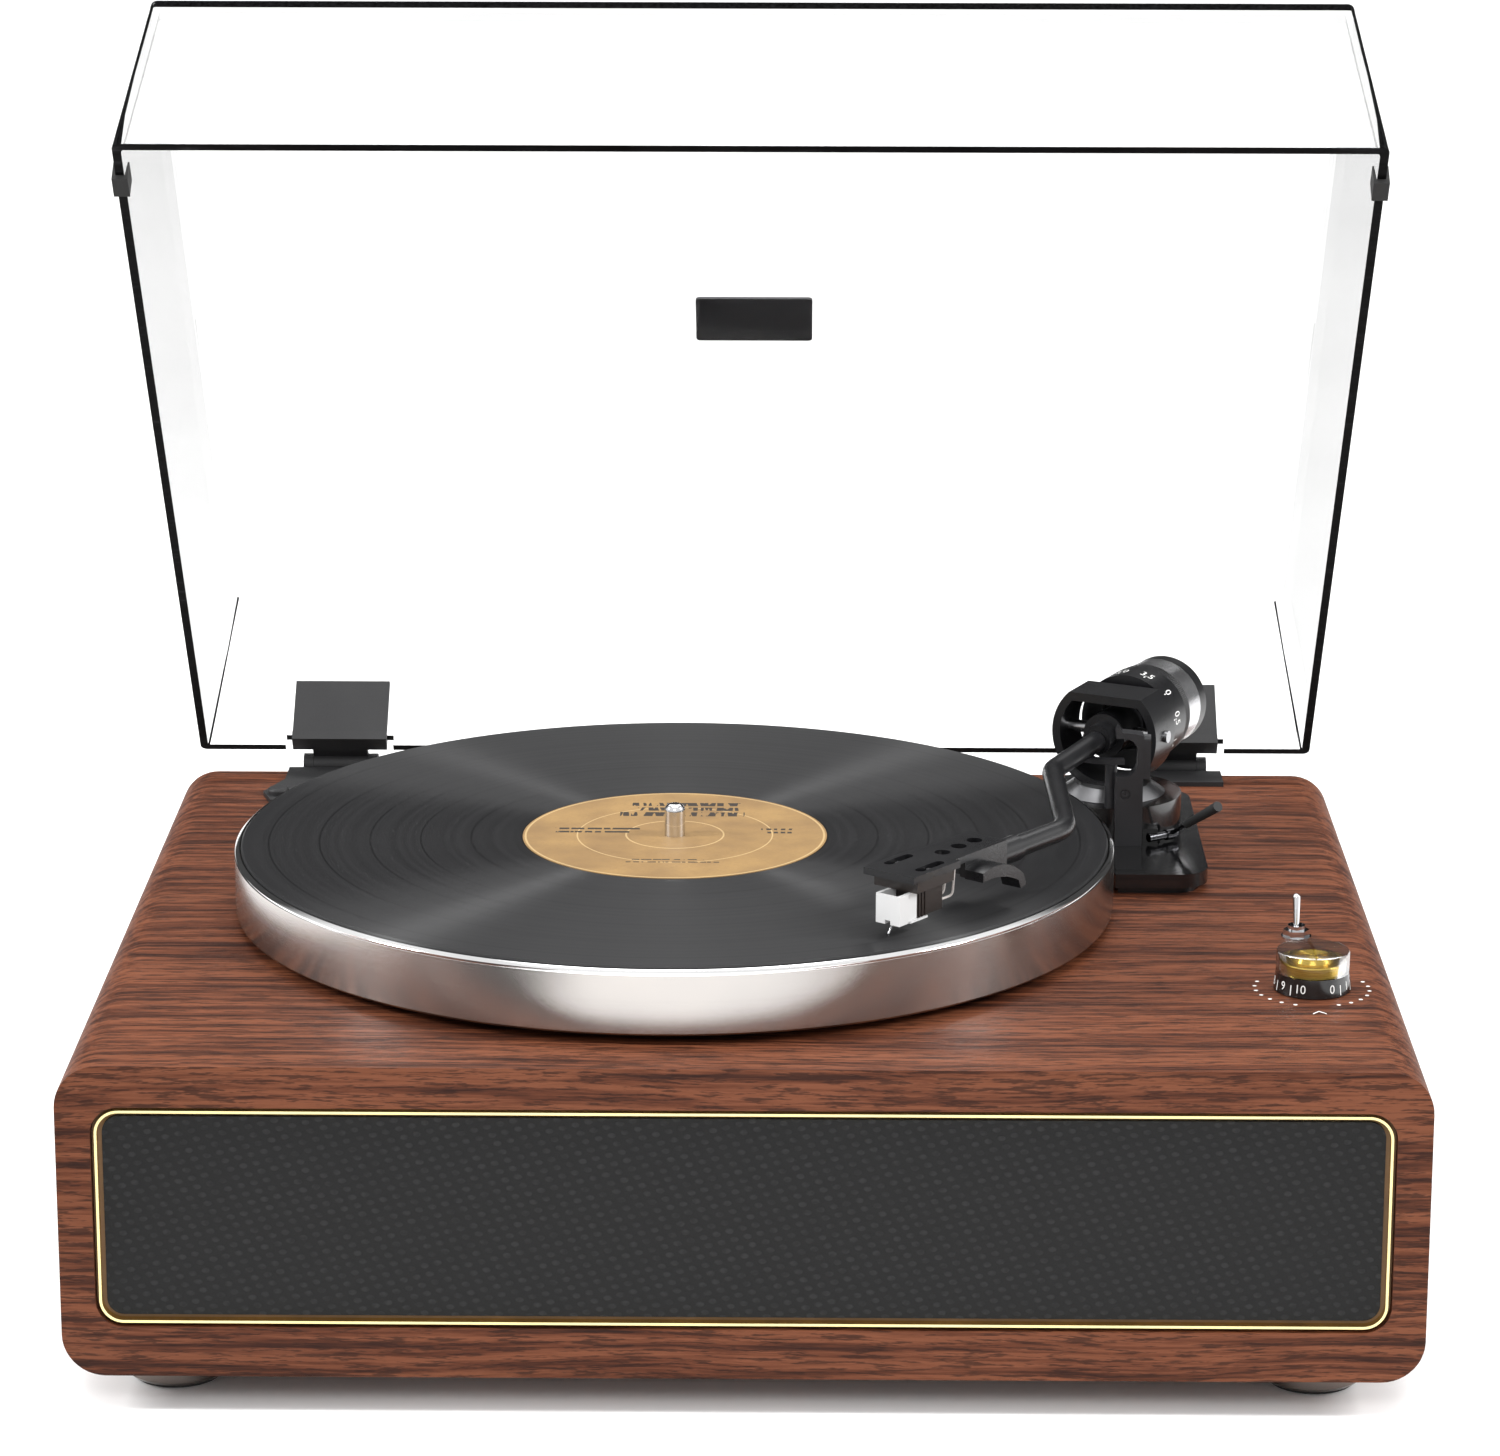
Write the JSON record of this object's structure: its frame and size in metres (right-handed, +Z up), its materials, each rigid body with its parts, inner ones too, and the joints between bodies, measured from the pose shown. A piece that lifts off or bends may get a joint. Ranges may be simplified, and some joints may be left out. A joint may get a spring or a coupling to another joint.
{
  "type": "turntable record player",
  "caption": "Wooden record player with a belt-driven platter, S-shaped tonearm, front speaker grille, volume knob, toggle switch and a hinged clear cover.",
  "frame": {"origin": "under the middle of the whole player with its cover open, on the surface it stands on", "axes": "+X to the player's right seen from the front, +Y to its back, +Z up"},
  "size_m": [0.438, 0.4028, 0.4282],
  "materials": {
    "veneer": "satin veneer",
    "board": "bare fibreboard",
    "gold_trim": "polished",
    "cloth": "dotted speaker cloth",
    "black_plastic": "fine matt",
    "gloss_black": "gloss",
    "satin_black_metal": "satin",
    "grey_plastic": "satin",
    "white_plastic": "satin",
    "paper_cone": "pulp cone",
    "steel": "plain",
    "chrome": "polished",
    "alu": "turned and polished",
    "silver_ring": "brushed round",
    "brass": "turned",
    "dark_foot": "polished dark",
    "rubber": "matt",
    "vinyl": "grooved",
    "label_paper": "paper",
    "felt": "felt",
    "circuit": "solder mask",
    "clear_lid": "clear acrylic",
    "clear_cap": "clear cap",
    "lead_wire": "thin insulated wire"
  },
  "bodies": {
    "base": {"cabinet_shell": "veneer", "speaker_baffle": "board", "grille_ring": "gold_trim", "grille_cloth": "cloth", "speaker_drivers": "steel", "speaker_cones": "paper_cone", "rear_panel": "black_plastic", "rear_screws": "steel", "rca_jacks": "chrome", "rear_sockets": "black_plastic", "foot_shells": "dark_foot", "foot_pads": "rubber", "amp_board": "circuit", "bearing_housing": "brass", "motor_body": "steel", "drive_belt": "rubber", "arm_base": "gloss_black", "rest_post": "black_plastic", "rest_prong": "steel", "pot_body": "steel", "switch_body": "black_plastic", "switch_nut": "chrome", "hinge_lowers": "black_plastic", "hinge_screws": "black_plastic", "hinge_pins": "steel"},
    "turntable": {"platter": "alu", "mat": "felt", "record": "vinyl", "record_label": "label_paper", "spindle": "chrome"},
    "pulley": {"motor_pulley": "brass"},
    "yaw": {"yoke": "satin_black_metal", "arm_cone": "grey_plastic", "pivot_screws": "steel"},
    "arm": {"arm_hub": "satin_black_metal", "arm_tube": "satin_black_metal", "headshell": "satin_black_metal", "finger_lift": "satin_black_metal", "cartridge_body": "black_plastic", "cartridge_screws": "steel", "stylus_block": "white_plastic", "stylus": "steel", "cartridge_leads": "lead_wire"},
    "ring": {"lock_ring": "satin_black_metal"},
    "sleeve": {"weight_sleeve": "black_plastic"},
    "weight": {"counterweight": "silver_ring", "weight_end_ring": "satin_black_metal"},
    "dial": {"force_dial": "black_plastic"},
    "lift": {"lift_rail": "black_plastic"},
    "cue": {"cue_lever": "steel", "cue_grip": "rubber"},
    "volume": {"knob_skirt": "gloss_black", "knob_drum": "gold_trim", "knob_cap": "clear_cap", "pot_shaft": "steel"},
    "toggle": {"switch_lever": "chrome"},
    "cover": {"lid": "clear_lid", "lid_bumpers": "rubber", "lid_badge": "black_plastic", "hinge_uppers": "black_plastic"}
  },
  "joints": [
    {"name": "platter_spin", "type": "hinge", "parent": "base", "child": "turntable", "pos_m": [-0.026, -0.0254, 0.12], "axis": [0, 0, 1], "continuous": true},
    {"name": "pulley_spin", "type": "hinge", "parent": "base", "child": "pulley", "pos_m": [-0.098, 0.0306, 0.12], "axis": [0, 0, 1], "continuous": true},
    {"name": "arm_swing", "type": "hinge", "parent": "base", "child": "yaw", "pos_m": [0.131, 0.0536, 0.128], "axis": [0, 0, 1], "range_deg": [-26, 30.1]},
    {"name": "arm_dip", "type": "hinge", "parent": "yaw", "child": "arm", "pos_m": [0.131, 0.0536, 0.16], "axis": [-0.8988, 0.4384, 0], "range_deg": [0, 3]},
    {"name": "headshell_lock", "type": "hinge", "parent": "arm", "child": "ring", "pos_m": [0.1081, -0.0638, 0.157], "axis": [-0.6115, -0.7912, 0], "range_deg": [-60, 0]},
    {"name": "weight_slide", "type": "slide", "parent": "arm", "child": "sleeve", "axis": [0.4384, 0.8988, 0], "range_m": [-0.0021, 0.0041]},
    {"name": "weight_turn", "type": "hinge", "parent": "sleeve", "child": "weight", "pos_m": [0.131, 0.0536, 0.16], "axis": [0.4384, 0.8988, 0], "range_deg": [-120, 240]},
    {"name": "dial_turn", "type": "hinge", "parent": "sleeve", "child": "dial", "pos_m": [0.131, 0.0536, 0.16], "axis": [0.4384, 0.8988, 0], "range_deg": [-180, 180]},
    {"name": "lift_rise", "type": "slide", "parent": "base", "child": "lift", "axis": [0, 0, 1], "range_m": [0, 0.00145]},
    {"name": "cue_turn", "type": "hinge", "parent": "base", "child": "cue", "pos_m": [0.1505, 0.0316, 0.1272], "axis": [-0.8275, -0.5615, 0], "range_deg": [0, 60]},
    {"name": "volume_turn", "type": "hinge", "parent": "base", "child": "volume", "pos_m": [0.188, -0.1154, 0.117], "axis": [0, 0, 1], "range_deg": [-300, 0]},
    {"name": "switch_flip", "type": "hinge", "parent": "base", "child": "toggle", "pos_m": [0.188, -0.0584, 0.1176], "axis": [1, 0, 0], "range_deg": [0, 26]},
    {"name": "lid_hinge", "type": "hinge", "parent": "base", "child": "cover", "pos_m": [0, 0.1512, 0.1189], "axis": [1, 0, 0], "range_deg": [0, 52.9]}
  ],
  "couplings": [
    {"joint": "pulley_spin", "follows": "platter_spin", "ratio": 9.75},
    {"joint": "weight_slide", "follows": "weight_turn", "m_per_rad": 0.0009549},
    {"joint": "cue_turn", "follows": "arm_dip", "ratio": 20},
    {"joint": "lift_rise", "follows": "arm_dip", "m_per_rad": 0.027693}
  ]
}
